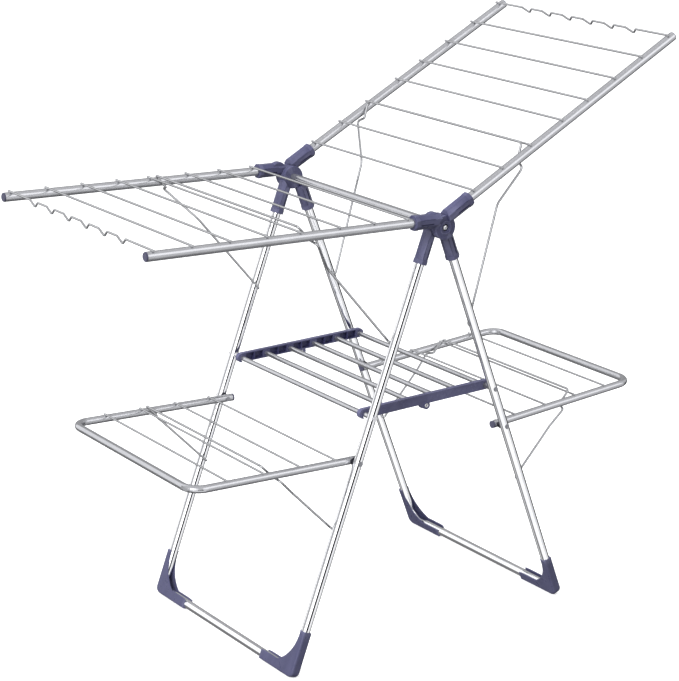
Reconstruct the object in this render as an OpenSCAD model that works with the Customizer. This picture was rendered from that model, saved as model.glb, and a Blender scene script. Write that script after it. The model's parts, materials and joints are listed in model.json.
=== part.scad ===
// Folding clothes airer with two upper wings, two lower wings and a middle shelf.
// X runs across the wings, Y along the hub axle, Z up. The floor is Z = 0.

/* [Leg frames] */
// height of the hub axle above the floor
hub_z = 882.5; // [880:0.5:886]
// distance of each leg's centre line from the hub axle, measured square to the leg
leg_off = 12.9; // [12.8:0.1:13.4]
// lean of each leg frame from upright, in degrees
leg_lean = 20.95; // [20.5:0.05:21.5]
// half of the distance between the two legs of one frame
leg_y = 249; // [248.5:0.5:250]
// outer diameter of the leg tubes
leg_d = 19; // [18.8:0.1:19]
// wall of the leg and wing tubes
wall = 0.9; // [0.8:0.1:1.2]
// centre-line radius of the bend at each foot
foot_bend = 30; // [28:1:32]
// height of the crossbar's centre line
bar_z = 12.5; // [12.4:0.1:12.8]
// height of the joint between the upper leg tube and the lower frame tube
seam_z = 490; // [488:1:492]

/* [Upper wings] */
// angle of the left wing above level, in degrees
wing_l = 2.6; // [2.4:0.1:2.8]
// angle of the right wing above level, in degrees
wing_r = 26.7; // [26.5:0.1:26.9]
// half of the distance between a wing's side tubes
wing_y = 270; // [269.5:0.5:270.5]
// height of the side tubes' centre lines above the hub axle, square to the wing
wing_off = 15.5; // [15.3:0.1:15.7]
// length of a wing from the hub axle to the tube end
wing_len = 677; // [675:1:680]
// outer diameter of the wing side tubes
wing_d = 19; // [18.8:0.1:19]
// diameter of the cross wires
wire_d = 4.5; // [4:0.1:4.6]
// distance of the wavy outermost wire from the hub axle
wavy_s = 664; // [662:1:666]
// depth of the hanger notches in the wavy wire
notch_h = 9; // [8:0.5:11]
// pitch of the hanger notches
notch_p = 66.6; // [64:0.2:67]

/* [Hubs] */
// radius of the round eyes that turn on the hub bolts
eye_r = 24.5; // [23.5:0.5:24.5]
// thickness of one eye
eye_t = 8; // [7.6:0.1:8]
// width across the flats of the wing sockets
wing_af = 28; // [27:0.5:28]
// width across the flats of the leg sockets
leg_af = 26; // [25:0.5:26]
// radius of the hub bolt shank
bolt_r = 4; // [3.9:0.05:4]
// outer diameter of the centre axle tube
axle_d = 18; // [17:0.5:18]

/* [Lower wings] */
// height of the lower wings' pivots
low_z = 424.2; // [423:0.2:426]
// angle of the lower wings above level, in degrees
low_a = 2.95; // [2.8:0.05:3.1]
// half of the distance between the side tubes
low_y = 229; // [228.8:0.1:229.2]
// outer diameter of the lower wing tube
low_d = 16; // [15.8:0.1:16]
// distance of the outer bar from the pivot
low_len = 374.5; // [373:0.5:376]
// centre-line radius of the outer corners
low_bend = 32; // [30:1:35]

/* [Middle shelf] */
// height of the shelf's pivots
shelf_z = 512.8; // [512:0.2:513.6]
// height of the centre line of the shelf rails
rail_z = 513; // [512.8:0.1:513.4]
// height of the shelf rails
rail_h = 20; // [19:0.5:20]
// distance of the rails' centre planes from the middle
rail_y = 219; // [218.8:0.1:219]
// thickness of the rails
rail_t = 10; // [9.5:0.1:10]
// half length of the rails
rail_x = 167; // [166:0.5:168]
// outer diameter of the shelf tubes
bar_d = 10.5; // [10:0.1:10.6]
// pitch of the shelf tubes
bar_p = 62; // [61:0.5:62]

/* [Struts] */
// diameter of the strut wire
strut_d = 5; // [4.8:0.1:5]
// height of the upper struts' leg holes
up_hole_z = 655; // [654:0.5:656]
// height of the lower struts' leg holes
lo_hole_z = 291; // [290:0.5:292]

/* [Hidden] */
$fn = 48;

plastic = [0.33, 0.33, 0.48];
dark_plastic = [0.22, 0.22, 0.30];
chrome = [0.85, 0.86, 0.88];
silver = [0.70, 0.71, 0.74];
steel = [0.60, 0.60, 0.62];

leg_r = leg_d / 2;
wing_tr = wing_d / 2;
low_r = low_d / 2;
wr = wire_d / 2;
sr = strut_d / 2;
leg_ang = -(90 - leg_lean);
foot_s = (hub_z - bar_z + leg_off * sin(leg_lean)) / cos(leg_lean);
seam_s = (hub_z - seam_z + leg_off * sin(leg_lean)) / cos(leg_lean);
function leg_s(z) = (hub_z - z + leg_off * sin(leg_lean)) / cos(leg_lean);
function leg_x(z) = leg_off * cos(leg_lean) + leg_s(z) * sin(leg_lean);
wire_s = [582.5, 501, 419.5, 345, 254, 173, 92.5];
wire_n = wing_off + wing_tr + wr - 1.1;
low_wire_s = [298, 213, 128.5, 43.5];
low_wire_n = low_r + wr - 1.8;
// eye layers, from the outside in: right wing, left wing, right leg, left leg
gap = 0.3;
eye_out = 277;
function layer(i) = eye_out - i * (eye_t + gap);
axle_half = layer(4) - gap;
rivet_r = 3;
// strut ends on the wings, in the wing's own directions
hook_d = 6;
hook_n = wing_off + 17;
low_hook_d = 4;
low_hook_n = 18;
// the whole model is moved along X so that its bounding box is centred
tip_s = wing_len + 2.5;
x_lo = -tip_s * cos(wing_l) + (wing_off - wing_tr + 1) * sin(wing_l);
x_hi = tip_s * cos(wing_r) - (wing_off - wing_tr + 1) * sin(wing_r);
shift = -(x_lo + x_hi) / 2;

// local directions of a wing or leg: X away from the hub, Z square to it
module frame(side, ang) {
    if (side > 0) translate([0, 0, hub_z]) rotate([0, -ang, 0]) children();
    else mirror([1, 0, 0]) translate([0, 0, hub_z]) rotate([0, -ang, 0]) children();
}
module legs(side) frame(side, leg_ang) children();
module low_frame(side) {
    px = leg_x(low_z);
    if (side > 0) translate([px, 0, low_z]) rotate([0, -low_a, 0]) children();
    else mirror([1, 0, 0]) translate([px, 0, low_z]) rotate([0, -low_a, 0]) children();
}
module centred() translate([shift, 0, 0]) children();

module tube_x(a, b, r, w) {
    translate([a, 0, 0]) rotate([0, 90, 0]) difference() {
        cylinder(h = b - a, r = r);
        translate([0, 0, -1]) cylinder(h = b - a + 2, r = r - w);
    }
}
module rod_x(a, b, r) translate([a, 0, 0]) rotate([0, 90, 0]) cylinder(h = b - a, r = r);
module rod_y(a, b, r) translate([0, a, 0]) rotate([-90, 0, 0]) cylinder(h = b - a, r = r);
// a bent wire in the XY plane: points [x, y, bend radius]
function unit(v) = v / norm(v);
function turn(p, q, w) = let(a = unit(q - p), b = unit(w - q)) atan2(a[0] * b[1] - a[1] * b[0], a[0] * b[0] + a[1] * b[1]);
module wire(pts, r) {
    n = len(pts);
    xy = [for (p = pts) [p[0], p[1]]];
    phi = [for (i = [0 : n - 1]) i == 0 || i == n - 1 ? 0 : turn(xy[i - 1], xy[i], xy[i + 1])];
    cut = [for (i = [0 : n - 1]) pts[i][2] * tan(abs(phi[i]) / 2)];
    for (i = [0 : n - 2]) {
        d = unit(xy[i + 1] - xy[i]);
        // each straight is a hair thinner than the bends and runs a little way into them
        e0 = i == 0 ? 0 : 0.3;
        e1 = i == n - 2 ? 0 : 0.3;
        p = xy[i] + d * (cut[i] - e0);
        translate([p[0], p[1], 0]) rotate([0, 0, atan2(d[1], d[0])]) rotate([0, 90, 0])
            cylinder(h = norm(xy[i + 1] - xy[i]) - cut[i] - cut[i + 1] + e0 + e1, r = r - 0.05);
    }
    for (i = [1 : n - 2]) {
        d = unit(xy[i] - xy[i - 1]);
        k = phi[i] > 0 ? 1 : -1;
        c = xy[i] - d * cut[i] + k * pts[i][2] * [-d[1], d[0]];
        a0 = atan2(-k * d[0], k * d[1]);
        translate([c[0], c[1], 0]) rotate([0, 0, k > 0 ? a0 : a0 - abs(phi[i])])
            rotate_extrude(angle = abs(phi[i])) translate([pts[i][2], 0]) circle(r = r);
    }
}

// ---------------------------------------------------------------- leg frames
module leg_holes() {
    for (z = [shelf_z, low_z]) translate([leg_s(z), 0, leg_off]) rod_y(-300, 300, rivet_r + 0.05);
    for (z = [up_hole_z, lo_hole_z]) translate([leg_s(z), 0, leg_off]) rod_y(-leg_y, leg_y, sr + 0.05);
}
module leg_tube(side, sy) color(chrome) centred() difference() {
    legs(side) translate([0, sy * leg_y, leg_off]) difference() {
        union() {
            rod_x(34, seam_s - 0.4, leg_r);
            // reduced end that slides into the lower tube
            rod_x(seam_s - 1, seam_s + 38, leg_r - wall - 0.05);
        }
        rod_x(33, seam_s + 40, leg_r - 2 * wall - 0.1);
        rod_x(33, seam_s - 8, leg_r - wall);
    }
    legs(side) leg_holes();
}
module frame_tube(side) color(chrome) centred() legs(side) translate([0, 0, leg_off]) difference() {
    union() {
        for (sy = [-1, 1]) translate([0, sy * leg_y, 0]) rod_x(seam_s, foot_s - foot_bend, leg_r);
        for (sy = [-1, 1]) translate([foot_s - foot_bend, sy * (leg_y - foot_bend), 0])
            rotate([0, 0, sy > 0 ? 0 : -90]) rotate_extrude(angle = 90) translate([foot_bend, 0]) circle(r = leg_r);
        translate([foot_s, 0, 0]) rod_y(-(leg_y - foot_bend), leg_y - foot_bend, leg_r);
    }
    for (sy = [-1, 1]) translate([0, sy * leg_y, 0]) rod_x(seam_s - 1, foot_s - foot_bend + 0.01, leg_r - wall);
    for (sy = [-1, 1]) translate([foot_s - foot_bend, sy * (leg_y - foot_bend), 0])
        rotate([0, 0, sy > 0 ? 0 : -90]) rotate_extrude(angle = 90) translate([foot_bend, 0]) circle(r = leg_r - wall);
    translate([foot_s, 0, 0]) rod_y(-(leg_y - foot_bend) - 0.01, leg_y - foot_bend + 0.01, leg_r - wall);
    translate([0, 0, -leg_off]) leg_holes();
}
foot_h = 10.8;
clip_r = leg_r + 0.1;
up_len = 88;
in_y = 146;
corner_r = 14;
// outline of a foot in the plane of its leg frame, for the far side
module foot_outline() difference() {
    union() {
        translate([foot_s - up_len, leg_y - 51.5]) square([up_len + foot_h, 51.5 + foot_h]);
        translate([foot_s - foot_h, in_y]) square([2 * foot_h, leg_y - in_y]);
    }
    // wide hollow curve between the leg and the floor bar
    translate([foot_s - 82.9, leg_y - 86.1]) circle(r = 81.8, $fn = 96);
    // rounded outer corner
    translate([foot_s + foot_h - corner_r, leg_y + foot_h - corner_r]) difference() {
        square([corner_r + 1, corner_r + 1]);
        circle(r = corner_r);
    }
}
// channel behind the tube, open towards the inside of the corner
module foot_slot() {
    translate([foot_s - up_len - 1, in_y - 1]) square([up_len + 1 - foot_bend, leg_y - 4 - in_y + 1]);
    translate([foot_s - up_len - 1, in_y - 1]) square([up_len + 1 - 4, leg_y - foot_bend - in_y + 1]);
    translate([foot_s - foot_bend, leg_y - foot_bend]) circle(r = foot_bend - 4);
}
module foot(side, sy) color(plastic) centred() mirror([0, sy > 0 ? 0 : 1, 0]) difference() {
    legs(side) translate([0, 0, leg_off]) difference() {
        translate([0, 0, -foot_h]) linear_extrude(height = 2 * foot_h) foot_outline();
        translate([0, 0, -8.4]) linear_extrude(height = 16.8) foot_slot();
        translate([0, leg_y, 0]) rod_x(foot_s - up_len - 1, foot_s - foot_bend + 0.3, clip_r);
        translate([foot_s - foot_bend, leg_y - foot_bend, 0])
            rotate_extrude(angle = 90) translate([foot_bend, 0]) circle(r = clip_r + 0.05);
        translate([foot_s, 0, 0]) rod_y(in_y - 1, leg_y - foot_bend + 0.3, clip_r);
    }
    // level underside
    translate([-600, -400, -20]) cube([1200, 800, 20]);
}

// ---------------------------------------------------------------- hub arms
// an eye on the bolt, a neck and an eight-sided socket for a tube
module arm(sy, i, off, ty, af, tr, s1, neck) {
    y1 = layer(i);
    y0 = y1 - eye_t;
    difference() {
        union() {
            rod_y(sy > 0 ? y0 : -y1, sy > 0 ? y1 : -y0, eye_r);
            // neck plate in the eye's own layer
            translate([0, sy > 0 ? y0 : -y1, off - neck]) cube([32, eye_t, 2 * neck]);
            // socket
            translate([27, sy * ty, off]) rotate([0, 90, 0]) rotate([0, 0, 22.5])
                cylinder(h = s1 - 27, r = af / 2 / cos(22.5), $fn = 8);
            // shallow collar round the mouth of the socket
            translate([s1 - 9, sy * ty, off]) rotate([0, 90, 0]) rotate([0, 0, 22.5])
                cylinder(h = 9, r = (af / 2 + 1) / cos(22.5), $fn = 8);
        }
        rod_y(-300, 300, bolt_r + 0.06);
        translate([34, sy * ty, off]) rod_x(0, s1, tr + 0.05);
        // grooves along the socket's two faces
        for (k = [-1, 1]) translate([36, sy * ty + k * (af / 2 + 0.6) - 1.1, off - 1.2]) cube([s1 - 47, 2.2, 2.4]);
    }
}
module leg_hub(side, sy) color(plastic) centred() legs(side)
    arm(sy, side > 0 ? 2 : 3, leg_off, leg_y, leg_af, leg_r, 76, 11);
module wing_hub(side, sy) color(plastic) centred() frame(side, side > 0 ? wing_r : wing_l) difference() {
    union() {
        arm(sy, side > 0 ? 0 : 1, wing_off, wing_y, wing_af, wing_tr, 78, 8.5);
        if (side > 0) translate([0, 0, 0]) difference() {
            rod_y(sy > 0 ? eye_out - 0.5 : -eye_out - 1.4, sy > 0 ? eye_out + 1.4 : -eye_out + 0.5, 14);
            rod_y(-300, 300, 11.5);
        }
    }
}
module axle_tube_shape() color(silver) centred() translate([0, 0, hub_z]) difference() {
    rod_y(-axle_half, axle_half, axle_d / 2);
    rod_y(-axle_half - 1, axle_half + 1, axle_d / 2 - wall);
}
module axle_plugs_shape() color(dark_plastic) centred() translate([0, 0, hub_z]) for (sy = [-1, 1])
    difference() {
        rod_y(sy > 0 ? axle_half - 22 : -axle_half + 0.1, sy > 0 ? axle_half - 0.1 : -axle_half + 22, axle_d / 2 - wall - 0.05);
        rod_y(-400, 400, bolt_r + 0.05);
    }
module hub_bolts_shape() color(steel) centred() translate([0, 0, hub_z]) for (sy = [-1, 1]) mirror([0, sy > 0 ? 0 : 1, 0])
    difference() {
        union() {
            rod_y(axle_half - 20, eye_out + 1, bolt_r);
            rod_y(eye_out + 0.3, eye_out + 1.1, 9);
            difference() {
                rod_y(eye_out + 1, eye_out + 3.4, 6.6);
                rod_y(eye_out + 3.0, eye_out + 4, 5.4);
            }
            rod_y(eye_out + 2.9, eye_out + 3.6, 4.6);
        }
        for (a = [45, -45]) rotate([0, a, 0]) translate([-3.2, eye_out + 1.9, -0.6]) cube([6.4, 3, 1.2]);
    }

// ---------------------------------------------------------------- pins and rivets
// a rivet through a leg: head outside, shank inwards to y0, with an inner head
module rivet(x, z, y0, head) for (sy = [-1, 1]) translate([x, 0, z]) mirror([0, sy > 0 ? 0 : 1, 0]) {
    rod_y(y0, leg_y + leg_r + 1, rivet_r);
    rod_y(leg_y + leg_r + 0.02, leg_y + leg_r + 1.0, 5.2);
    rod_y(leg_y + leg_r + 0.9, leg_y + leg_r + 2.0, 3.9);
    if (head > 0) rod_y(y0 - 1.6, y0 + 0.4, head);
}
module spacer(x, z, y0, y1, r) for (sy = [-1, 1]) translate([x, 0, z]) mirror([0, sy > 0 ? 0 : 1, 0])
    difference() { rod_y(y0, y1, r); rod_y(y0 - 1, y1 + 1, rivet_r); }
module left_pins_shape() color(steel) centred() {
    rivet(-leg_x(shelf_z), shelf_z, rail_y - rail_t / 2 + 1.5, 0);
    spacer(-leg_x(shelf_z), shelf_z, rail_y + rail_t / 2 + 0.5, leg_y - leg_r - 0.02, 5.5);
}
module low_rivet_shape(side) color(steel) centred() {
    rivet(side * leg_x(low_z), low_z, low_y - low_r - 0.4, 5);
    spacer(side * leg_x(low_z), low_z, low_y + low_r + 0.3, leg_y - leg_r - 0.02, 6);
    if (side > 0) {
        rivet(leg_x(shelf_z), shelf_z, rail_y - rail_t / 2 + 1.8, 4.5);
        spacer(leg_x(shelf_z), shelf_z, rail_y + rail_t / 2 + 0.3, leg_y - leg_r - 0.02, 6);
    }
}

// ---------------------------------------------------------------- upper wings
module wing_tube(side, sy) color(silver) centred() frame(side, side > 0 ? wing_r : wing_l)
    translate([0, sy * wing_y, wing_off]) tube_x(34.5, wing_len, wing_tr, wall);
module wing_wires(side) color(silver) centred() frame(side, side > 0 ? wing_r : wing_l)
    for (s = wire_s) translate([s, 0, wire_n]) rod_y(-wing_y - 7, wing_y + 7, wr);
notches = 6;
n0 = -(notches - 1) * notch_p / 2 - 10.75;
wavy = concat([[-wing_y - 7, 0, 0]],
    [for (i = [0 : notches - 1]) for (q = [[0, 0, 3], [8.5, -notch_h, 3], [13, -notch_h, 3], [31, 0, 5]]) [n0 + i * notch_p + q[0], q[1], q[2]]],
    [[wing_y + 7, 0, 0]]);
module wavy_wire(side) color(silver) centred() frame(side, side > 0 ? wing_r : wing_l)
    translate([wavy_s, 0, wire_n]) rotate([90, 0, 90]) wire(wavy, wr);
module wing_plugs(side) color(dark_plastic) centred() frame(side, side > 0 ? wing_r : wing_l)
    for (sy = [-1, 1]) translate([0, sy * wing_y, wing_off]) {
        rod_x(wing_len - 9, wing_len + 0.5, wing_tr - wall - 0.05);
        rod_x(wing_len + 0.02, wing_len + 1.6, wing_tr - 0.6);
        rod_x(wing_len + 1.5, wing_len + 2.5, wing_tr - 1.6);
    }

// ---------------------------------------------------------------- lower wings
module low_tube(side) color(silver) centred() low_frame(side) difference() {
    union() {
        for (sy = [-1, 1]) translate([0, sy * low_y, 0]) rod_x(-13, low_len - low_bend, low_r);
        for (sy = [-1, 1]) translate([low_len - low_bend, sy * (low_y - low_bend), 0])
            rotate([0, 0, sy > 0 ? 0 : -90]) rotate_extrude(angle = 90) translate([low_bend, 0]) circle(r = low_r);
        translate([low_len, 0, 0]) rod_y(-(low_y - low_bend), low_y - low_bend, low_r);
    }
    for (sy = [-1, 1]) translate([0, sy * low_y, 0]) rod_x(-14, low_len - low_bend + 0.01, low_r - wall);
    for (sy = [-1, 1]) translate([low_len - low_bend, sy * (low_y - low_bend), 0])
        rotate([0, 0, sy > 0 ? 0 : -90]) rotate_extrude(angle = 90) translate([low_bend, 0]) circle(r = low_r - wall);
    translate([low_len, 0, 0]) rod_y(-(low_y - low_bend) - 0.01, low_y - low_bend + 0.01, low_r - wall);
    rod_y(-300, 300, rivet_r + 0.06);
}
module low_wires(side) color(silver) centred() low_frame(side)
    for (s = low_wire_s) translate([s, 0, low_wire_n]) rod_y(-low_y - 4, low_y + 4, wr);
module low_plugs(side) color(dark_plastic) centred() low_frame(side)
    for (sy = [-1, 1]) translate([0, sy * low_y, 0]) {
        rod_x(-13, -5, low_r - wall - 0.05);
        rod_x(-17, -13.02, low_r);
    }

// ---------------------------------------------------------------- middle shelf
bars = [for (i = [-2.5 : 1 : 2.5]) i * bar_p];
bar_zc = rail_z - 1;
function pin_x() = leg_x(shelf_z);
module rail(sy) color(plastic) centred() mirror([0, sy > 0 ? 0 : 1, 0]) difference() {
    union() {
        translate([-rail_x + rail_h / 2, rail_y - rail_t / 2, rail_z - rail_h / 2]) cube([2 * rail_x - rail_h, rail_t, rail_h]);
        for (k = [-1, 1]) translate([k * (rail_x - rail_h / 2), 0, rail_z]) rod_y(rail_y - rail_t / 2, rail_y + rail_t / 2, rail_h / 2);
        // hanging boss under the middle
        translate([2, 0, rail_z - 14]) rod_y(rail_y - rail_t / 2, rail_y + rail_t / 2, 8.5);
        translate([-14, rail_y - rail_t / 2, rail_z - 13.5]) cube([16, rail_t, 8]);
        translate([-10, rail_y - rail_t / 2, rail_z - 18]) cube([12, rail_t, 8]);
    }
    // pockets of the channel, open towards the middle of the shelf
    for (i = [0 : 4]) translate([bars[i] + 9, rail_y - rail_t / 2 - 1, rail_z - 7.6]) {
        cube([bar_p / 2 - 10, rail_t - 1.6, 15.2]);
        translate([bar_p / 2 - 8, 0, 0]) cube([bar_p / 2 - 10, rail_t - 1.6, 15.2]);
    }
    // tube sockets
    for (x = bars) translate([x, 0, bar_zc]) rod_y(rail_y - rail_t / 2 - 1, rail_y + 3, bar_d / 2 + 0.05);
    // hole in the boss
    translate([2, 0, rail_z - 14]) rod_y(rail_y - 20, rail_y + 20, 3.2);
    // pivot bore at the right leg
    translate([pin_x(), 0, shelf_z]) rod_y(rail_y - 20, rail_y + 20, rivet_r + 0.06);
    translate([pin_x(), 0, shelf_z]) rod_y(rail_y - 20, rail_y - rail_t / 2 + 2.5, 5.2);
    // slot that drops over the pin on the left leg
    translate([-pin_x(), 0, shelf_z]) rod_y(rail_y - 20, rail_y + 20, rivet_r + 0.4);
    translate([-pin_x(), rail_y - 20, shelf_z]) rotate([0, slot_a, 0])
        translate([-(rivet_r + 0.4), 0, -30]) cube([2 * (rivet_r + 0.4), 40, 30]);
    // wider mouth of the slot
    translate([-pin_x(), rail_y - 20, shelf_z - 3]) rotate([0, slot_a, 0]) translate([-(rivet_r + 0.4), 0, -30])
        cube([2 * (rivet_r + 0.4) + 2.5, 40, 30]);
}
slot_a = -30;
module shelf_tubes_shape() color(silver) centred() for (x = bars) translate([x, 0, bar_zc]) difference() {
    rod_y(-rail_y - 2.9, rail_y + 2.9, bar_d / 2);
    rod_y(-rail_y - 4, rail_y + 4, bar_d / 2 - 1);
    // the end tubes clear the pin and the rivet
    if (x > 150) translate([pin_x() - x, 0, shelf_z - bar_zc]) for (sy = [-1, 1]) mirror([0, sy > 0 ? 0 : 1, 0]) rod_y(rail_y - rail_t / 2 - 0.05, rail_y + 10, 5.3);
    if (x < -150) translate([-pin_x() - x, 0, shelf_z - bar_zc]) for (sy = [-1, 1]) mirror([0, sy > 0 ? 0 : 1, 0]) rod_y(rail_y - rail_t / 2 + 1.2, rail_y + 10, 5.3);
}

// ---------------------------------------------------------------- struts
// shape of a strut in its own plane: distance from the top bar, distance from the middle, bend radius
up_shape = [[0, 256, 8], [38, 256, 5], [46, 273.5, 5], [53.5, 273.5, 12], [131, 229.5, 30]];
lo_shape = [[0, 216, 8], [38, 216, 5], [46, 234.5, 5], [52, 234.5, 8], [92, 229.5, 30]];
// the hook point on a wing, in X and Z
function hook_up(side, a, s) = [side * ((s - hook_d) * cos(a) - hook_n * sin(a)), hub_z + (s - hook_d) * sin(a) + hook_n * cos(a)];
function hook_lo(side, s) = [side * (leg_x(low_z) + (s - low_hook_d) * cos(low_a) - low_hook_n * sin(low_a)),
    low_z + (s - low_hook_d) * sin(low_a) + low_hook_n * cos(low_a)];
module strut(t, p, shape) {
    d = p - t;
    one = concat(shape, [[norm(d), 229.5, 4.5], [norm(d), leg_y - 4, 0]]);
    other = [for (i = [len(one) - 1 : -1 : 0]) [one[i][0], -one[i][1], one[i][2]]];
    translate([t[0], 0, t[1]]) rotate([0, -atan2(d[1], d[0]), 0]) wire(concat(other, one), sr);
}
module up_strut(side) color(silver) centred()
    strut(hook_up(side, side > 0 ? wing_r : wing_l, side > 0 ? wire_s[4] : wire_s[3]), [side * leg_x(up_hole_z), up_hole_z], up_shape);
module lo_strut(side) color(silver) centred()
    strut(hook_lo(side, low_wire_s[1]), [side * leg_x(lo_hole_z), lo_hole_z], lo_shape);

leg_tube(-1, -1);  // left_leg_near
leg_tube(-1, 1);  // left_leg_far
frame_tube(-1);  // left_frame
foot(-1, -1);  // left_foot_near
foot(-1, 1);  // left_foot_far
leg_hub(-1, -1);  // left_leg_hub_near
leg_hub(-1, 1);  // left_leg_hub_far
axle_tube_shape();  // axle_tube
axle_plugs_shape();  // axle_plugs
hub_bolts_shape();  // hub_bolts
left_pins_shape();  // left_pins
low_rivet_shape(-1);  // left_rivets
leg_tube(1, -1);  // right_leg_near
leg_tube(1, 1);  // right_leg_far
frame_tube(1);  // right_frame
foot(1, -1);  // right_foot_near
foot(1, 1);  // right_foot_far
leg_hub(1, -1);  // right_leg_hub_near
leg_hub(1, 1);  // right_leg_hub_far
low_rivet_shape(1);  // right_rivets
wing_tube(-1, -1);  // upper_left_tube_near
wing_tube(-1, 1);  // upper_left_tube_far
wing_wires(-1);  // upper_left_wires
wavy_wire(-1);  // upper_left_wavy_wire
wing_hub(-1, -1);  // upper_left_hub_near
wing_hub(-1, 1);  // upper_left_hub_far
wing_plugs(-1);  // upper_left_plugs
wing_tube(1, -1);  // upper_right_tube_near
wing_tube(1, 1);  // upper_right_tube_far
wing_wires(1);  // upper_right_wires
wavy_wire(1);  // upper_right_wavy_wire
wing_hub(1, -1);  // upper_right_hub_near
wing_hub(1, 1);  // upper_right_hub_far
wing_plugs(1);  // upper_right_plugs
low_tube(-1);  // lower_left_frame
low_wires(-1);  // lower_left_wires
low_plugs(-1);  // lower_left_plugs
low_tube(1);  // lower_right_frame
low_wires(1);  // lower_right_wires
low_plugs(1);  // lower_right_plugs
rail(-1);  // shelf_rail_near
rail(1);  // shelf_rail_far
shelf_tubes_shape();  // shelf_tubes
up_strut(-1);  // upper_left_strut
up_strut(1);  // upper_right_strut
lo_strut(-1);  // lower_left_strut
lo_strut(1);  // lower_right_strut
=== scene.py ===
import json
import math
import bpy
import bmesh
from mathutils import Vector, Matrix

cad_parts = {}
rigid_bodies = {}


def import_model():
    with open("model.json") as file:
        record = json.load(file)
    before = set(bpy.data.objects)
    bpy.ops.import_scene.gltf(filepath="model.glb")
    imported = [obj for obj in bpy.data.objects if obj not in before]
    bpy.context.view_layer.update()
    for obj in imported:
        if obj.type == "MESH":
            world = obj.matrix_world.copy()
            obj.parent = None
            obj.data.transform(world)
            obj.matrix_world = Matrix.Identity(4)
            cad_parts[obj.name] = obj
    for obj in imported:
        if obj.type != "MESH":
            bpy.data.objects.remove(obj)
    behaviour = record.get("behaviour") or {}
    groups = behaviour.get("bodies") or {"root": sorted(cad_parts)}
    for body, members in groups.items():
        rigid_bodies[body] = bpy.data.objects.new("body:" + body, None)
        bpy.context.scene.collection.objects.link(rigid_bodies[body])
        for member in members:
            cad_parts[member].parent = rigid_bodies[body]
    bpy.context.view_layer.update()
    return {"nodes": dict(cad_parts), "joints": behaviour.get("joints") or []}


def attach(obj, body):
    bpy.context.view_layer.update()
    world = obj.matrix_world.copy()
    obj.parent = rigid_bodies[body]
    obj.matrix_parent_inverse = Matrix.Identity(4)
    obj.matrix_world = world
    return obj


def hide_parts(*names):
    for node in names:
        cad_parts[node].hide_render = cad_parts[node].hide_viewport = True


for o in list(bpy.data.objects):
    bpy.data.objects.remove(o)
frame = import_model()
NODES = frame["nodes"]
JOINTS = {j["name"]: j for j in frame["joints"]}
scene = bpy.context.scene

# ------------------------------------------------------------------ the frame's own measures
HUB = Vector(JOINTS["leg_fold"]["pos_m"])
SHELF = Vector(JOINTS["shelf_fold"]["pos_m"])
MID = HUB.x
LEAN, WING_L, WING_R, LOW_A = 20.95, 2.6, 26.7, 2.95
LEG_OFF, WING_OFF = 12.9, 15.5
LEG_Y, WING_Y, LOW_Y, RAIL_Y = 249.0, 270.0, 229.0, 219.0
LEG_R, WING_TR, LOW_R, WIRE_R = 9.5, 9.5, 8.0, 2.25
EYE_OUT, EYE_T, EYE_GAP = 277.0, 8.0, 0.3
rad = math.radians


def local(side, ang, origin):
    """Matrix from a wing's or leg's own directions, in mm (away from the hub, across, square to it), to the frame in metres."""
    a = rad(ang)
    ux = Vector((side * math.cos(a), 0, math.sin(a)))
    uz = Vector((-side * math.sin(a), 0, math.cos(a)))
    m = Matrix(((ux.x, 0, uz.x, 0), (0, 1, 0, 0), (ux.z, 0, uz.z, 0), (0, 0, 0, 1)))
    return Matrix.Translation(origin) @ m @ Matrix.Scale(0.001, 4)


WING = {-1: local(-1, WING_L, HUB), 1: local(1, WING_R, HUB)}
LEG = {-1: local(-1, -(90 - LEAN), HUB), 1: local(1, -(90 - LEAN), HUB)}
LOW = {-1: local(-1, LOW_A, Vector(JOINTS["wing_lower_left"]["pos_m"])), 1: local(1, LOW_A, Vector(JOINTS["wing_lower_right"]["pos_m"]))}


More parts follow.
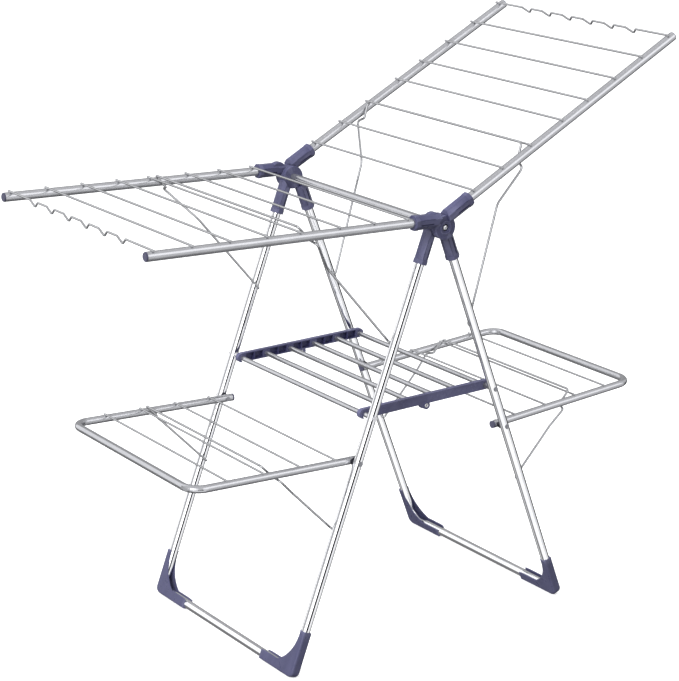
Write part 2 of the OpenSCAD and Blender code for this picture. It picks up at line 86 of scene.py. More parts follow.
# ------------------------------------------------------------------ materials
class Mat:
    """A node material under construction."""

    def __init__(self, name):
        self.m = bpy.data.materials.new(name)
        self.m.use_nodes = True
        self.t = self.m.node_tree
        self.t.nodes.clear()
        self.out = self.t.nodes.new("ShaderNodeOutputMaterial")
        self.b = self.t.nodes.new("ShaderNodeBsdfPrincipled")
        self.t.links.new(self.b.outputs[0], self.out.inputs[0])
        self.co = self.t.nodes.new("ShaderNodeTexCoord").outputs["Object"]

    def mapped(self, rot=(0, 0, 0), scale=(1, 1, 1)):
        n = self.t.nodes.new("ShaderNodeMapping")
        n.inputs["Rotation"].default_value = [rad(x) for x in rot]
        n.inputs["Scale"].default_value = scale
        self.t.links.new(self.co, n.inputs[0])
        return n.outputs[0]

    def noise(self, scale, detail=3, rough=0.5, co=None):
        n = self.t.nodes.new("ShaderNodeTexNoise")
        n.inputs["Scale"].default_value = scale
        n.inputs["Detail"].default_value = detail
        n.inputs["Roughness"].default_value = rough
        self.t.links.new(co or self.co, n.inputs["Vector"])
        return n.outputs[0]

    def ramp(self, value, stops):
        n = self.t.nodes.new("ShaderNodeValToRGB")
        e = n.color_ramp.elements
        while len(e) < len(stops):
            e.new(0.5)
        for el, (p, c) in zip(e, stops):
            el.position = p
            el.color = (c, c, c, 1) if isinstance(c, (int, float)) else (*c, 1)
        self.t.links.new(value, n.inputs[0])
        return n.outputs[0]

    def mul(self, a, b, factor=1.0):
        n = self.t.nodes.new("ShaderNodeMix")
        n.data_type = "RGBA"
        n.blend_type = "MULTIPLY"
        n.inputs[0].default_value = factor
        self.t.links.new(a, n.inputs[6])
        self.t.links.new(b, n.inputs[7])
        return n.outputs[2]

    def math(self, op, a, b):
        n = self.t.nodes.new("ShaderNodeMath")
        n.operation = op
        for i, v in enumerate((a, b)):
            if isinstance(v, (int, float)):
                n.inputs[i].default_value = v
            else:
                self.t.links.new(v, n.inputs[i])
        return n.outputs[0]

    def span(self, value, lo, hi):
        n = self.t.nodes.new("ShaderNodeMapRange")
        n.inputs["From Min"].default_value = 0.3
        n.inputs["From Max"].default_value = 0.7
        n.inputs["To Min"].default_value = lo
        n.inputs["To Max"].default_value = hi
        self.t.links.new(value, n.inputs["Value"])
        return n.outputs[0]

    def bump(self, height, strength, distance, under=None):
        n = self.t.nodes.new("ShaderNodeBump")
        n.inputs["Strength"].default_value = strength
        n.inputs["Distance"].default_value = distance
        self.t.links.new(height, n.inputs["Height"])
        if under is not None:
            self.t.links.new(under, n.inputs["Normal"])
        return n.outputs[0]

    def set(self, **k):
        for name, v in k.items():
            s = self.b.inputs[name.replace("_", " ")]
            if isinstance(v, (int, float, tuple)):
                s.default_value = v
            else:
                self.t.links.new(v, s)
        return self


def chrome(name, tilt):
    """Polished chrome plating with faint drawn lines along the tube, soft handling haze and a few tiny dull spots."""
    m = Mat(name)
    along = m.mapped((0, tilt, 0), (420, 420, 6))
    drawn = m.noise(1.0, 4, 0.6, along)
    haze = m.noise(16, 4, 0.6)
    pits = m.noise(900, 2, 0.5)
    tone = m.ramp(haze, [(0.3, (0.80, 0.81, 0.84)), (0.55, (0.88, 0.885, 0.90)), (0.75, (0.92, 0.925, 0.935))])
    streak = m.ramp(drawn, [(0.3, 0.93), (0.6, 1.0)])
    m.set(Base_Color=m.mul(tone, streak), Metallic=1.0, Roughness=m.math("ADD", m.math("ADD", m.span(haze, 0.025, 0.05), m.span(drawn, 0.0, 0.015)), m.math("MULTIPLY", m.ramp(pits, [(0.22, 1.0), (0.3, 0.0)]), 0.12)))
    return m.m


def silver(name, tilt, base, rough, flake):
    """Silver paint: fine metal flake, orange peel, and a little wear in its gloss."""
    m = Mat(name)
    peel = m.noise(260, 3, 0.5)
    grain = m.noise(flake, 2, 0.6)
    wear = m.noise(22, 4, 0.65)
    along = m.noise(1.0, 3, 0.6, m.mapped((0, tilt, 0), (9, 300, 300)))
    k = [c * 1.08 for c in base]
    tone = m.ramp(wear, [(0.3, tuple(c * 0.93 for c in base)), (0.6, base), (0.8, tuple(k))])
    spark = m.ramp(grain, [(0.3, 0.90), (0.55, 1.0), (0.75, 1.06)])
    m.set(Base_Color=m.mul(tone, spark), Metallic=0.85, Roughness=m.math("ADD", m.span(wear, rough - 0.04, rough + 0.05), m.span(along, -0.02, 0.03)))
    b = m.bump(peel, 0.03, 0.0002)
    m.set(Normal=m.bump(grain, 0.04, 0.0001, b))
    return m.m


def plastic(name, base, rough, grain_scale=1400, rubbed_and_highlit_edges=True):
    """Moulded plastic: fine spark-eroded grain, soft flow marks, edges polished by handling, and a painted highlight of
    lighter blue-grey on convex edges.
    """
    m = Mat(name)
    flow = m.noise(14, 4, 0.6, m.mapped((20, 35, 0), (1, 2.6, 1)))
    cloud = m.noise(70, 3, 0.55)
    grain = m.noise(grain_scale, 3, 0.6)
    tone = m.ramp(flow, [(0.25, tuple(c * 0.86 for c in base)), (0.5, base), (0.78, tuple(c * 1.14 for c in base))])
    speck = m.ramp(cloud, [(0.3, 0.975), (0.6, 1.0), (0.8, 1.02)])
    colour = m.mul(tone, speck)
    r = m.span(cloud, rough - 0.04, rough + 0.06)
    if rubbed_and_highlit_edges:
        # painted highlight: convex edges, found by pointiness, get a lighter blue-grey added to their colour; the lower
        # roughness there is real polish from handling
        g = m.t.nodes.new("ShaderNodeNewGeometry")
        edge = m.ramp(g.outputs["Pointiness"], [(0.50, 0.0), (0.58, 1.0)])
        painted_edge_highlight = m.t.nodes.new("ShaderNodeMix")
        painted_edge_highlight.data_type = "RGBA"
        painted_edge_highlight.blend_type = "ADD"
        m.t.links.new(m.math("MULTIPLY", edge, m.span(flow, 0.05, 0.16)), painted_edge_highlight.inputs[0])
        m.t.links.new(colour, painted_edge_highlight.inputs[6])
        painted_edge_highlight.inputs[7].default_value = (0.55, 0.55, 0.72, 1)
        colour = painted_edge_highlight.outputs[2]
        r = m.math("SUBTRACT", r, m.math("MULTIPLY", edge, 0.08))
    m.set(Base_Color=colour, Roughness=r, IOR=1.49, Specular_IOR_Level=0.25)
    m.set(Normal=m.bump(flow, 0.03, 0.001, m.bump(grain, 0.10, 0.00012)))
    return m.m


def steel(name):
    """Turned, zinc-plated steel."""
    m = Mat(name)
    grain = m.noise(500, 3, 0.6)
    stain = m.noise(90, 4, 0.6)
    m.set(Base_Color=m.ramp(stain, [(0.3, (0.55, 0.55, 0.57)), (0.6, (0.74, 0.74, 0.76)), (0.8, (0.82, 0.82, 0.83))]), Metallic=1.0, Roughness=m.span(stain, 0.16, 0.30))
    m.set(Normal=m.bump(grain, 0.12, 0.0001))
    return m.m


CHROME = {-1: chrome("chrome_left", -LEAN), 1: chrome("chrome_right", LEAN)}
TUBE = {-1: silver("silver_left", WING_L, (0.52, 0.525, 0.55), 0.21, 2600), 1: silver("silver_right", -WING_R, (0.52, 0.525, 0.55), 0.21, 2600)}
LOWT = silver("silver_low", 0, (0.52, 0.525, 0.55), 0.18, 2600)
WIRE = silver("silver_wire_coat", 0, (0.45, 0.455, 0.47), 0.16, 3200)
PLASTIC = plastic("slate_plastic", (0.068, 0.068, 0.142), 0.31)
RAILP = plastic("slate_plastic_rail", (0.048, 0.048, 0.125), 0.33)
# near-black plastic: the real colour of the pivot collars, and painted shade where it lines the screw recesses
DARK_PLASTIC_AND_SHADE = plastic("dark_plastic_and_painted_shade", (0.018, 0.018, 0.030), 0.45, rubbed_and_highlit_edges=False)
PLUG = plastic("slate_plug", (0.050, 0.050, 0.090), 0.40)
STEEL = steel("plated_steel")
RIVET = silver("rivet_steel", 0, (0.30, 0.305, 0.33), 0.30, 2600)


def pick(name):
    side = -1 if "left" in name else 1
    if "plugs" in name:
        return PLUG
    if "foot" in name or "hub_near" in name or "hub_far" in name:
        return PLASTIC
    if "rail" in name:
        return RAILP
    if "leg_" in name or name in ("left_frame", "right_frame"):
        return CHROME[side]
    if name in ("hub_bolts", "left_pins"):
        return STEEL
    if name in ("left_rivets", "right_rivets"):
        return RIVET
    if "wire" in name or "strut" in name:
        return WIRE
    if name.startswith("upper"):
        return TUBE[side]
    return LOWT


for name, o in NODES.items():
    for s in o.material_slots:
        s.material = pick(name)


# ------------------------------------------------------------------ mesh helpers
def make(name, bm, mat, body, smooth=40):
    """A finished piece from a bmesh, in the frame's metres."""
    bmesh.ops.remove_doubles(bm, verts=bm.verts, dist=1e-6)
    bmesh.ops.recalc_face_normals(bm, faces=bm.faces)
    me = bpy.data.meshes.new(name)
    bm.to_mesh(me)
    bm.free()
    o = bpy.data.objects.new(name, me)
    scene.collection.objects.link(o)
    me.materials.append(mat)
    for p in me.polygons:
        p.use_smooth = True
    if smooth:
        me.set_sharp_from_angle(angle=rad(smooth))
        w = o.modifiers.new("normals", "WEIGHTED_NORMAL")
        w.keep_sharp = True
        w.weight = 80
    if body:
        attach(o, body)
    return o


def loft(bm, rings, close=True):
    """Quads between rings of equal length, with the first and last ring capped."""
    vs = [[bm.verts.new(p) for p in r] for r in rings]
    n = len(rings[0])
    for a, b in zip(vs, vs[1:]):
        for i in range(n):
            bm.faces.new((a[i], a[(i + 1) % n], b[(i + 1) % n], b[i]))
    if close:
        bm.faces.new(list(reversed(vs[0])))
        bm.faces.new(vs[-1])
    return vs


def octagon(s, yc, nc, af, chamfer=1.0):
    """An octagon with broken corners, across flats af, square to the tube."""
    pts = []
    r = af / 2 / math.cos(rad(22.5))
    cs = [(yc + r * math.cos(rad(22.5 + 45 * k)), nc + r * math.sin(rad(22.5 + 45 * k))) for k in range(8)]
    for k in range(8):
        p, q, w = Vector(cs[k - 1]), Vector(cs[k]), Vector(cs[(k + 1) % 8])
        d0, d1 = (p - q).normalized(), (w - q).normalized()
        for t in (1.0, 0.35):
            a = q + d0 * chamfer * t
            b = q + d1 * chamfer * t * 0.0
            if t == 1.0:
                pts.append(Vector((s, a.x, a.y)))
        mid = q + (d0 + d1) * chamfer * 0.28
        pts.append(Vector((s, mid.x, mid.y)))
        b = q + d1 * chamfer
        pts.append(Vector((s, b.x, b.y)))
    return pts


def disc_rings(yc0, yc1, r, bev, n=72, cx=0.0, cz=0.0):
    """Rings of a turned disc about the Y axis between yc0 and yc1 with rounded rims."""
    out = []
    prof = [(yc0, r - bev), (yc0 + 0.3 * bev, r - 0.3 * bev), (yc0 + bev, r), (yc1 - bev, r), (yc1 - 0.3 * bev, r - 0.3 * bev), (yc1, r - bev)]
    for y, rr in prof:
        out.append([Vector((cx + rr * math.cos(2 * math.pi * k / n), y, cz + rr * math.sin(2 * math.pi * k / n))) for k in range(n)])
    return out


def mesh_object(bm, name):
    bmesh.ops.recalc_face_normals(bm, faces=bm.faces)
    me = bpy.data.meshes.new(name)
    bm.to_mesh(me)
    bm.free()
    o = bpy.data.objects.new(name, me)
    scene.collection.objects.link(o)
    return o


def combine(parts, cuts=()):
    """Union of closed parts with closed cuts taken away, returned as one bmesh."""
    base = parts[0]
    for op, tools in (("UNION", parts[1:]), ("DIFFERENCE", cuts)):
        for t in tools:
            m = base.modifiers.new("b", "BOOLEAN")
            m.operation = op
            m.solver = "EXACT"
            m.object = t
    bpy.context.view_layer.update()
    dg = bpy.context.evaluated_depsgraph_get()
    bm = bmesh.new()
    bm.from_object(base, dg)
    for t in [base, *parts[1:], *cuts]:
        bpy.data.objects.remove(t)
    return bm


def soften(bm, width, segments=2, angle=35):
    """Rounds the sharp edges of a solid by a small radius."""
    bmesh.ops.remove_doubles(bm, verts=bm.verts, dist=0.01)
    bmesh.ops.dissolve_limit(bm, angle_limit=rad(2), verts=bm.verts, edges=bm.edges)
    es = [e for e in bm.edges if len(e.link_faces) == 2 and e.calc_face_angle(0) > rad(angle)]
    bmesh.ops.bevel(bm, geom=es, offset=width, offset_type="OFFSET", segments=segments, profile=0.5, affect="EDGES", clamp_overlap=True)
    bmesh.ops.triangulate(bm, faces=[f for f in bm.faces if len(f.verts) > 4])
    return bm


# ------------------------------------------------------------------ hub arms
def box_bm(x0, x1, y0, y1, z0, z1, name):
    bm = bmesh.new()
    ring = lambda x: [Vector((x, y0, z0)), Vector((x, y1, z0)), Vector((x, y1, z1)), Vector((x, y0, z1))]
    loft(bm, [ring(x0), ring(x1)])
    return mesh_object(bm, name)


def ringed(prof, n=72, cx=0.0, cz=0.0):
    """A closed ring turned about the Y axis from a profile of (y, radius)."""
    bm = bmesh.new()
    rings = [[Vector((cx + r * math.cos(2 * math.pi * k / n), y, cz + r * math.sin(2 * math.pi * k / n))) for k in range(n)] for y, r in prof]
    vs = [[bm.verts.new(p) for p in r] for r in rings]
    for i in range(len(vs)):
        p, q = vs[i], vs[(i + 1) % len(vs)]
        for k in range(n):
            bm.faces.new((p[k], p[(k + 1) % n], q[(k + 1) % n], q[k]))
    return bm


def slant_cut(angle):
    """The space past a slanted plane through the hub's axis, which belongs to the other wing's arm."""
    t = math.tan(rad(angle))
    tri = lambda y: [Vector((-20, y, -20 * t)), Vector((60, y, 60 * t)), Vector((-20, y, 60 * t))]
    bm = bmesh.new()
    loft(bm, [tri(200), tri(330)])
    return mesh_object(bm, "t_slant")


def hub_arm(sy, layer, off, ty, af, s0, s1, neck, outer_ring, hump, lean_cut, slot):
    y1 = EYE_OUT - layer * (EYE_T + EYE_GAP)
    y0 = y1 - EYE_T
    parts = []
    bm = bmesh.new()
    loft(bm, disc_rings(y0, y1, 24.4, 1.3))
    parts.append(mesh_object(bm, "t_eye"))
    # neck from the eye into the socket
    bm = bmesh.new()

    def slab(s, half, ya, yb):
        return [Vector((s, ya, off - half)), Vector((s, yb, off - half)), Vector((s, yb, off + half)), Vector((s, ya, off + half))]

    loft(bm, [slab(4, neck - 1.5, y0 + 0.4, y1 - 0.4), slab(20, neck, y0 + 0.4, y1 - 0.4), slab(31, neck + 0.6, y0 + 0.4, y1 - 0.4)])
    link = mesh_object(bm, "t_neck")
    parts.append(mesh_object(combine([link], [slant_cut(lean_cut)]), "t_neck") if lean_cut else link)
    # socket, drawn back over the eye and hollowed there to clear the other eyes
    bm = bmesh.new()
    c = 0.5
    loft(bm, [octagon(s0, ty, off, af - 1.6, c), octagon(s0 + 1.0, ty, off, af - 0.2, c), octagon(s1 - 9.6, ty, off, af, c),
              octagon(s1 - 8.6, ty, off, af + 1.5, c), octagon(s1 - 0.6, ty, off, af + 1.5, c), octagon(s1, ty, off, af + 0.4, c)])
    socket = mesh_object(bm, "t_socket")
    web = []
    if hump:
        # rounded web that carries the upper side of the arm over the eye
        bm = bmesh.new()
        prof = []
        for k in range(17):
            t = k / 16
            s = 7 + 34 * t
            prof.append((s, 21.5 + 7.5 * math.sin(math.pi * t) ** 0.8 + 7.0 * t))
        ring = lambda y, k: [Vector((s, y, 6.0 + (n - 6.0) * k)) for s, n in prof] + [Vector((s, y, 6.0)) for s, n in reversed(prof)]
        loft(bm, [ring(y0 - 1.4, 0.93), ring(y0 + 0.6, 1.0), ring(y1 + 3.4, 1.0), ring(y1 + 6.2, 0.9)])
        web.append(mesh_object(bm, "t_hump"))
    hollow = []
    if y0 > 238:
        bm = bmesh.new()
        loft(bm, disc_rings(200, y0 - 0.2, 25.3, 0.1, 96))
        hollow.append(mesh_object(bm, "t_hollow"))
    if layer > 0:
        bm = bmesh.new()
        loft(bm, disc_rings(y1 + 0.2, 320, 25.3, 0.1, 96))
        hollow.append(mesh_object(bm, "t_hollow"))
    if lean_cut:
        hollow.append(slant_cut(lean_cut))
    bm = combine([socket] + web, hollow)
    parts.append(mesh_object(bm, "t_socket"))
    if outer_ring:
        parts.append(mesh_object(ringed([(y1 - 0.6, 11.0), (y1 + 0.9, 11.0), (y1 + 1.3, 11.4), (y1 + 1.4, 12.0), (y1 + 1.4, 13.4), (y1 + 1.1, 14.0), (y1 + 0.4, 14.3), (y1 - 0.6, 14.3)]), "t_ring"))
    cuts = []
    # a deep slot in the socket's near and far faces, and a fine line beside it
    for k in (-1, 1):
        ya, yb = sorted((ty + k * (af / 2 + 2.5), ty + k * (af / 2 - 3.0)))
        cuts.append(box_bm(35, s1 - 12, ya, yb, off + slot * 3.7 - 1.35, off + slot * 3.7 + 1.35, "t_cut"))
        ya, yb = sorted((ty + k * (af / 2 + 2.5), ty + k * (af / 2 - 1.5)))
        cuts.append(box_bm(31, s1 - 11, ya, yb, off - slot * af * 0.207 - 0.6, off - slot * af * 0.207 + 0.6, "t_cut"))
    bm = bmesh.new()
    loft(bm, disc_rings(-400 if sy < 0 else y0 - 3, 400, 4.3, 0.1, 40))
    cuts.append(mesh_object(bm, "t_bore"))
    if outer_ring:
        # recess that takes the head of the screw
        bm = bmesh.new()
        loft(bm, disc_rings(y1 - 5.5, y1 + 9, 7.6, 0.1, 56))
        cuts.append(mesh_object(bm, "t_bore"))
    out = combine(parts, cuts)
    soften(out, 0.3, 2, 40)
    if sy < 0:
        bmesh.ops.transform(out, matrix=Matrix.Scale(-1, 4, Vector((0, 1, 0))), verts=out.verts)
        bmesh.ops.reverse_faces(out, faces=out.faces)
    return out


for side, sn in ((-1, "left"), (1, "right")):
    for sy, yn in ((-1, "near"), (1, "far")):
        bm = hub_arm(sy, 0 if side > 0 else 1, WING_OFF, WING_Y, 28, 13, 78, 8.5, side > 0, side < 0, 59.5, -1)
        bmesh.ops.transform(bm, matrix=WING[side], verts=bm.verts)
        o = make("wing_socket_%s_%s" % (sn, yn), bm, PLASTIC, "upper_%s_wing" % sn)
        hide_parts("upper_%s_hub_%s" % (sn, yn))
        bm = hub_arm(sy, 2 if side > 0 else 3, LEG_OFF, LEG_Y, 26, 12, 83, 11, False, False, 0, side)
        bmesh.ops.transform(bm, matrix=LEG[side], verts=bm.verts)
        o = make("leg_socket_%s_%s" % (sn, yn), bm, PLASTIC, "%s_legs" % sn)
        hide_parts("%s_leg_hub_%s" % (sn, yn))


# ------------------------------------------------------------------ hub screws
def screw_bm(sy):
    """A slotted screw whose head sits in the eye's recess, with its shank through the stack of eyes."""
    y = EYE_OUT
    bm = bmesh.new()
    prof = [(y - 58, 3.4), (y - 57, 3.95), (y - 5.0, 3.95), (y - 4.6, 4.9), (y - 1.6, 4.9), (y - 0.7, 4.6), (y - 0.2, 3.8), (y + 0.1, 2.4), (y + 0.2, 0.6)]
    n = 56
    loft(bm, [[Vector((r * math.cos(2 * math.pi * k / n), q, r * math.sin(2 * math.pi * k / n))) for k in range(n)] for q, r in prof])
    head = mesh_object(bm, "t_screw")
    cut = box_bm(-6, 6, y - 3.2, y + 3, -1.15, 1.15, "t_cut")
    cut.rotation_euler = (0, rad(-52), 0)
    cut2 = box_bm(-2.6, 2.6, y - 1.1, y + 3, -0.55, 0.55, "t_cut")
    cut2.rotation_euler = (0, rad(38), 0)
    out = combine([head], [cut, cut2])
    soften(out, 0.12, 1, 40)
    if sy < 0:
        bmesh.ops.transform(out, matrix=Matrix.Scale(-1, 4, Vector((0, 1, 0))), verts=out.verts)
        bmesh.ops.reverse_faces(out, faces=out.faces)
    return out


both = bmesh.new()
for sy in (-1, 1):
    one = screw_bm(sy)
    tmp = bpy.data.meshes.new("t")
    one.to_mesh(tmp)
    one.free()
    both.from_mesh(tmp)
    bpy.data.meshes.remove(tmp)
bmesh.ops.transform(both, matrix=Matrix.Translation(HUB) @ Matrix.Scale(0.001, 4), verts=both.verts)
o = make("hub_screws", both, STEEL, "left_legs")
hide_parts("hub_bolts")
# painted shade: near-black rings laid at the bottom of the screw recesses, to darken the recesses around the screw
# heads
both = bmesh.new()
for sy in (-1, 1):
    ring = ringed([(EYE_OUT - 5.45, 4.15), (EYE_OUT - 4.7, 4.15), (EYE_OUT - 4.5, 4.4), (EYE_OUT - 4.5, 7.1), (EYE_OUT - 4.7, 7.4), (EYE_OUT - 5.45, 7.4)])
    if sy < 0:
        bmesh.ops.transform(ring, matrix=Matrix.Scale(-1, 4, Vector((0, 1, 0))), verts=ring.verts)
    bmesh.ops.recalc_face_normals(ring, faces=ring.faces)
    tmp = bpy.data.meshes.new("t")
    ring.to_mesh(tmp)
    ring.free()
    both.from_mesh(tmp)
    bpy.data.meshes.remove(tmp)
bmesh.ops.transform(both, matrix=Matrix.Translation(HUB) @ Matrix.Scale(0.001, 4), verts=both.verts)
make("hub_recess_painted_shade", both, DARK_PLASTIC_AND_SHADE, "left_legs")


# ------------------------------------------------------------------ rail eyelets and pivot collars
def add_ring(bm, centre, sy, prof):
    """Adds a ring turned about the Y axis at a centre given in metres; the profile's y runs outwards in mm."""
    one = ringed(prof, 48)
    if sy < 0:
        bmesh.ops.transform(one, matrix=Matrix.Scale(-1, 4, Vector((0, 1, 0))), verts=one.verts)
    bmesh.ops.transform(one, matrix=Matrix.Translation(centre) @ Matrix.Scale(0.001, 4), verts=one.verts)
    bmesh.ops.recalc_face_normals(one, faces=one.faces)
    t = bpy.data.meshes.new("t")
    one.to_mesh(t)
    one.free()
    bm.from_mesh(t)
    bpy.data.meshes.remove(t)


rims, eyes = bmesh.new(), bmesh.new()
for sy in (-1, 1):
    c = Vector((MID + 0.002, 0, 0.499))
    add_ring(rims, c, sy, [(223.4, 5.9), (224.9, 5.9), (225.2, 6.2), (225.2, 7.9), (224.9, 8.3), (223.4, 8.4)])
    add_ring(eyes, c, sy, [(216.0, 2.3), (224.4, 2.3), (224.8, 2.7), (224.8, 4.0), (224.5, 4.3), (224.02, 4.3), (224.02, 3.1), (216.0, 3.1)])
make("rail_boss_rims", rims, RAILP, "shelf")
make("rail_boss_eyelets", eyes, STEEL, "shelf")
for sn in ("left", "right"):
    collars = bmesh.new()
    p = Vector(JOINTS["wing_lower_" + sn]["pos_m"])
    for sy in (-1, 1):
        add_ring(collars, Vector((p.x, 0, p.z)), sy, [(237.2, 6.2), (239.3, 6.2), (239.3, 8.6), (239.0, 9.0), (237.5, 9.0), (237.2, 8.7)])
    make("pivot_collars_" + sn, collars, DARK_PLASTIC_AND_SHADE, sn + "_legs")


# ------------------------------------------------------------------ feet
foot_s = (HUB.z * 1000 - 12.5 + LEG_OFF * math.sin(rad(LEAN))) / math.cos(rad(LEAN))
FH, UP, IN_Y = 10.8, 88.0, 146.0


def foot_outline():
    """Points of a foot's outline in its leg's plane with the edge radius at each, far side, in mm."""
    pts = []

    def add(s, y, r):
        pts.append((s, y, r))

    s0, s1 = foot_s - UP, foot_s + FH
    yo = LEG_Y + FH
    # outer side, downwards
    for k in range(9):
        add(s0 + 1.2 + (s1 - 14 - s0 - 1.2) * k / 8, yo - (0.8 if k == 0 else 0), 5.4)
    for k in range(1, 9):
        a = math.pi / 2 * k / 9
        add(s1 - 14 + 14 * math.sin(a), yo - 14 + 14 * math.cos(a), 5.4)
    # underside, inwards
    for k in range(13):
        add(s1, yo - 14 - (yo - 14 - IN_Y - 1.5) * k / 12, 4.8 - 0.6 * k / 12)
    # end over the floor bar
    add(s1 - 1.2, IN_Y, 1.4)
    add(foot_s - FH + 1.2, IN_Y, 1.2)
    # upper side of the floor part, up to the hollow curve
    cs, cy, cr = foot_s - 82.9, LEG_Y - 86.1, 81.8
    a0 = math.asin((foot_s - FH - cs) / cr)
    a1 = math.acos((LEG_Y - 51.5 - cy) / cr) if LEG_Y - 51.5 - cy < cr else 0.0
    y_start = cy + cr * math.cos(a0)
    for k in range(1, 5):
        add(foot_s - FH, IN_Y + (y_start - IN_Y) * k / 5, 1.2)
    end = math.asin(max(-1, min(1, (s0 + 0.0 - cs) / cr)))
    for k in range(25):
        a = a0 + (end - a0) * k / 24
        add(cs + cr * math.sin(a), cy + cr * math.cos(a), 1.6 + 1.2 * math.sin(math.pi * k / 24))
    return pts


def foot_bm(sy):
    pts = foot_outline()
    n = len(pts)
    area = sum(pts[i][0] * pts[(i + 1) % n][1] - pts[(i + 1) % n][0] * pts[i][1] for i in range(n))
    flat = []
    for i in range(n):
        p, q, w = (Vector(pts[j % n][:2]) for j in (i - 1, i, i + 1))
        d = (w - p).normalized()
        nrm = Vector((d.y, -d.x)) * (1 if area > 0 else -1)
        flat.append((q, nrm, pts[i][2]))
    rings = []
    steps = 5
    for sgn in (-1, 1):
        rs = []
        for k in range(steps + 1):
            th = math.pi / 2 * k / steps
            rs.append([Vector(((q - m * r * (1 - math.cos(th))).x, (q - m * r * (1 - math.cos(th))).y, sgn * (FH - r * (1 - math.sin(th))))) for q, m, r in flat])
        rings.append(rs)
    seq = list(reversed(rings[0])) + rings[1]
    bm = bmesh.new()
    loft(bm, seq)
    bmesh.ops.triangulate(bm, faces=[f for f in bm.faces if len(f.verts) > 4])
    body = mesh_object(bm, "t_foot")
    # open channel behind the tube
    cuts = []
    bm = bmesh.new()
    ring = lambda z: [Vector((foot_s - UP - 3, IN_Y - 3, z)), Vector((foot_s - UP - 3, LEG_Y - 4, z)), Vector((foot_s - 30, LEG_Y - 4, z)), Vector((foot_s - 12, LEG_Y - 12, z)), Vector((foot_s - 4, LEG_Y - 30, z)), Vector((foot_s - 4, IN_Y - 3, z))]
    loft(bm, [ring(-8.4), ring(8.4)])
    cuts.append(mesh_object(bm, "t_slot"))
    out = combine([body], cuts)
    if sy < 0:
        bmesh.ops.transform(out, matrix=Matrix.Scale(-1, 4, Vector((0, 1, 0))), verts=out.verts)
        bmesh.ops.reverse_faces(out, faces=out.faces)
    bmesh.ops.transform(out, matrix=Matrix.Translation((0, 0, LEG_OFF)), verts=out.verts)
    return out


for side, sn in ((-1, "left"), (1, "right")):
    for sy, yn in ((-1, "near"), (1, "far")):
        bm = foot_bm(sy)
        bmesh.ops.transform(bm, matrix=LEG[side], verts=bm.verts)
        for v in bm.verts:
            v.co.z = max(v.co.z, 0.0)
        o = make("foot_%s_%s" % (sn, yn), bm, PLASTIC, "%s_legs" % sn, 50)
        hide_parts("%s_foot_%s" % (sn, yn))


# ------------------------------------------------------------------ weld spots
def blob(bm, centre, rx, ry, rz, seed):
    """A small uneven bead of weld."""
    res = bmesh.ops.create_icosphere(bm, subdivisions=2, radius=1.0)
    for v in res["verts"]:
        c = v.co.copy()
        k = 1 + 0.10 * math.sin(5.1 * c.x + seed) * math.cos(4.3 * c.y + 1.7 * seed) + 0.06 * math.sin(7.7 * c.z + 2.3 * seed)
        v.co = Vector((c.x * rx * k, c.y * ry * k, c.z * rz * k)) + centre


WIRE_S = [664, 582.5, 501, 419.5, 345, 254, 173, 92.5]
LOW_S = [298, 213, 128.5, 43.5]
for side, sn in ((-1, "left"), (1, "right")):
    bm = bmesh.new()
    for i, s in enumerate(WIRE_S):
        for sy in (-1, 1):
            for dy in (-1, 1):
                blob(bm, Vector((s, sy * (WING_Y + dy * 3.1), WING_OFF + WING_TR - 0.1)), 3.0, 1.9, 1.2, i * 3.1 + sy + dy)
    bmesh.ops.transform(bm, matrix=WING[side], verts=bm.verts)
    make("upper_%s_welds" % sn, bm, WIRE, "upper_%s_wing" % sn, 60)
    bm = bmesh.new()
    for i, s in enumerate(LOW_S):
        for sy in (-1, 1):
            blob(bm, Vector((s, sy * (LOW_Y - 1.5), LOW_R - 0.3)), 2.9, 2.6, 1.2, i * 2.3 + sy)
    bmesh.ops.transform(bm, matrix=LOW[side], verts=bm.verts)
    make("lower_%s_welds" % sn, bm, WIRE, "lower_%s_wing" % sn, 60)


# ------------------------------------------------------------------ floor, light and camera
def plane(name, corners, mat):
    me = bpy.data.meshes.new(name)
    me.from_pydata(corners, [], [list(range(len(corners)))])
    o = bpy.data.objects.new(name, me)
    scene.collection.objects.link(o)
    me.materials.append(mat)
    return o


fm = Mat("studio_floor")
fl = fm.noise(0.8, 2, 0.5)
fm.set(Base_Color=fm.ramp(fl, [(0.3, (0.93, 0.93, 0.935)), (0.7, (0.95, 0.95, 0.955))]), Roughness=0.9)
fm.b.inputs["Emission Color"].default_value = (1, 1, 1, 1)
fm.b.inputs["Emission Strength"].default_value = 0.55
ground = plane("floor", [(-30, -30, -0.0005), (30, -30, -0.0005), (30, 30, -0.0005), (-30, 30, -0.0005)], fm.m)
ground.visible_diffuse = False
ground.visible_glossy = False


# the studio's tent of cloth, soft boxes and dark flags, which only shows in gloss and metal
TENT_R = 25.0


def step(x, lo, hi, edge):
    """1 between lo and hi, falling smoothly to 0 over edge outside them."""
    d = max(lo - x, x - hi, 0.0) / edge
    return 0.0 if d >= 1 else 1 - d * d * (3 - 2 * d)


# level, bearing from and to, height from and to in degrees, softness
TENT = [
    (1.25, -162, -64, -54, 24, 4), (0.88, -64, -28, -54, 10, 5),
    (0.42, -60, -15, -66, -36, 5), (0.40, 15, 92, 3, 42, 8),
    (1.30, 98, 138, -5, 60, 4), (0.22, 50, 137, -46, -13, 5),
    (0.25, 60, 96, -14, 3, 3), (0.25, 140, 160, 2, 22, 3),
    (0.20, 168, 196, -62, -44, 4), (0.01, -118, -86, -18, 10, 2.5),
    (0.02, -20, 12, -24, -2, 3), (0.32, 15, 50, -26, -6, 5),
    (0.14, -12, 52, -48, -25, 6), (0.12, -180, 180, -90, -60, 6),
    (3.6, -160, -130, 4, 34, 7), (1.9, -80, -42, 14, 40, 8),
]


def tent_level(az, el):
    v = 0.66 + 0.12 * step(el, 20, 90, 30)
    for level, a0, a1, e0, e1, soft in TENT:
        m = max(step(az, a0, a1, soft), step(az + 360, a0, a1, soft), step(az - 360, a0, a1, soft)) * step(el, e0, e1, soft)
        v += (level - v) * m
    return v


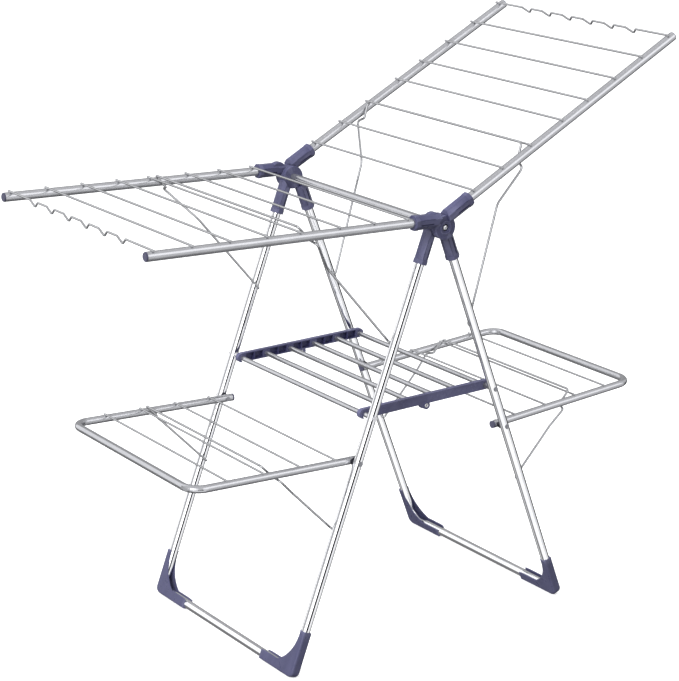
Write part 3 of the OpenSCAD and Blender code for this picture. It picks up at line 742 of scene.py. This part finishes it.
NB, NH = 240, 120
verts, cols, faces = [], [], []
for j in range(NH + 1):
    el = -90 + 180 * j / NH
    for i in range(NB):
        az = -180 + 360 * i / NB
        verts.append((TENT_R * math.cos(rad(el)) * math.cos(rad(az)), TENT_R * math.cos(rad(el)) * math.sin(rad(az)), TENT_R * math.sin(rad(el))))
        c = tent_level(az, el)
        cols += [c, c, c * 1.01, 1.0]
for j in range(NH):
    for i in range(NB):
        k, q = j * NB, (j + 1) * NB
        faces.append((k + i, q + i, q + (i + 1) % NB, k + (i + 1) % NB))
me = bpy.data.meshes.new("tent")
me.from_pydata(verts, [], faces)
at = me.color_attributes.new("level", "FLOAT_COLOR", "POINT")
at.data.foreach_set("color", cols)
tent = bpy.data.objects.new("tent", me)
scene.collection.objects.link(tent)
tent.location = (MID, 0, 0.5)
tm = Mat("tent_cloth")
tm.t.nodes.remove(tm.b)
em = tm.t.nodes.new("ShaderNodeEmission")
tm.t.links.new(em.outputs[0], tm.out.inputs[0])
lv = tm.t.nodes.new("ShaderNodeAttribute")
lv.attribute_name = "level"
tm.t.links.new(lv.outputs["Color"], em.inputs[0])
me.materials.append(tm.m)
tent.visible_camera = False
tent.visible_diffuse = False
tent.visible_shadow = False
tent.visible_transmission = False
tent.visible_volume_scatter = False

world = bpy.data.worlds.new("studio")
scene.world = world
world.use_nodes = True
wt = world.node_tree
bg = wt.nodes["Background"]
tc = wt.nodes.new("ShaderNodeTexCoord")
dot = wt.nodes.new("ShaderNodeVectorMath")
dot.operation = "DOT_PRODUCT"
dot.inputs[1].default_value = (-0.62, -0.05, 0.78)
wt.links.new(tc.outputs["Generated"], dot.inputs[0])
side = wt.nodes.new("ShaderNodeMapRange")
side.inputs["From Min"].default_value = -1.0
side.inputs["To Min"].default_value = 0.06
side.inputs["To Max"].default_value = 1.0
wt.links.new(dot.outputs["Value"], side.inputs[0])
wt.links.new(side.outputs[0], bg.inputs[1])
bg.inputs[0].default_value = (0.98, 0.99, 1.0, 1)


def area(name, loc, target, size, energy, colour=(1, 1, 1)):
    d = bpy.data.lights.new(name, "AREA")
    d.shape = "DISK"
    d.size = size
    d.energy = energy
    d.color = colour
    o = bpy.data.objects.new(name, d)
    scene.collection.objects.link(o)
    o.location = loc
    o.rotation_euler = (Vector(target) - Vector(loc)).to_track_quat("-Z", "Y").to_euler()
    return o


for lamp in (area("key", (-3.6, -1.3, 3.0), (0, 0, 0.6), 1.4, 130), area("top", (0.2, 0.3, 4.2), (0, 0, 0.4), 2.2, 55)):
    lamp.visible_glossy = False

cam = bpy.data.cameras.new("camera")
co = bpy.data.objects.new("camera", cam)
scene.collection.objects.link(co)
scene.camera = co
r = Vector((0.810261504733269, -0.5860558779747621, 0.0038473157667899298))
u = Vector((0.17492975020229165, 0.24810704933626154, 0.9528076797359568))
f = Vector((0.5593530874515154, 0.7713503743182372, -0.30355019946884054))
co.matrix_world = Matrix(((r.x, u.x, -f.x, MID - 2.521291771), (r.y, u.y, -f.y, -3.389990445), (r.z, u.z, -f.z, 1.923854235), (0, 0, 0, 1)))
cam.sensor_fit = "HORIZONTAL"
cam.sensor_width = 36
cam.lens = 2112.7 / 679 * 36
cam.shift_x = 0.00504
cam.shift_y = 0.0007
cam.clip_end = 100
scene.view_settings.view_transform = "Standard"
scene.view_settings.look = "None"
scene.view_settings.exposure = 0.0
scene.view_settings.gamma = 1.0
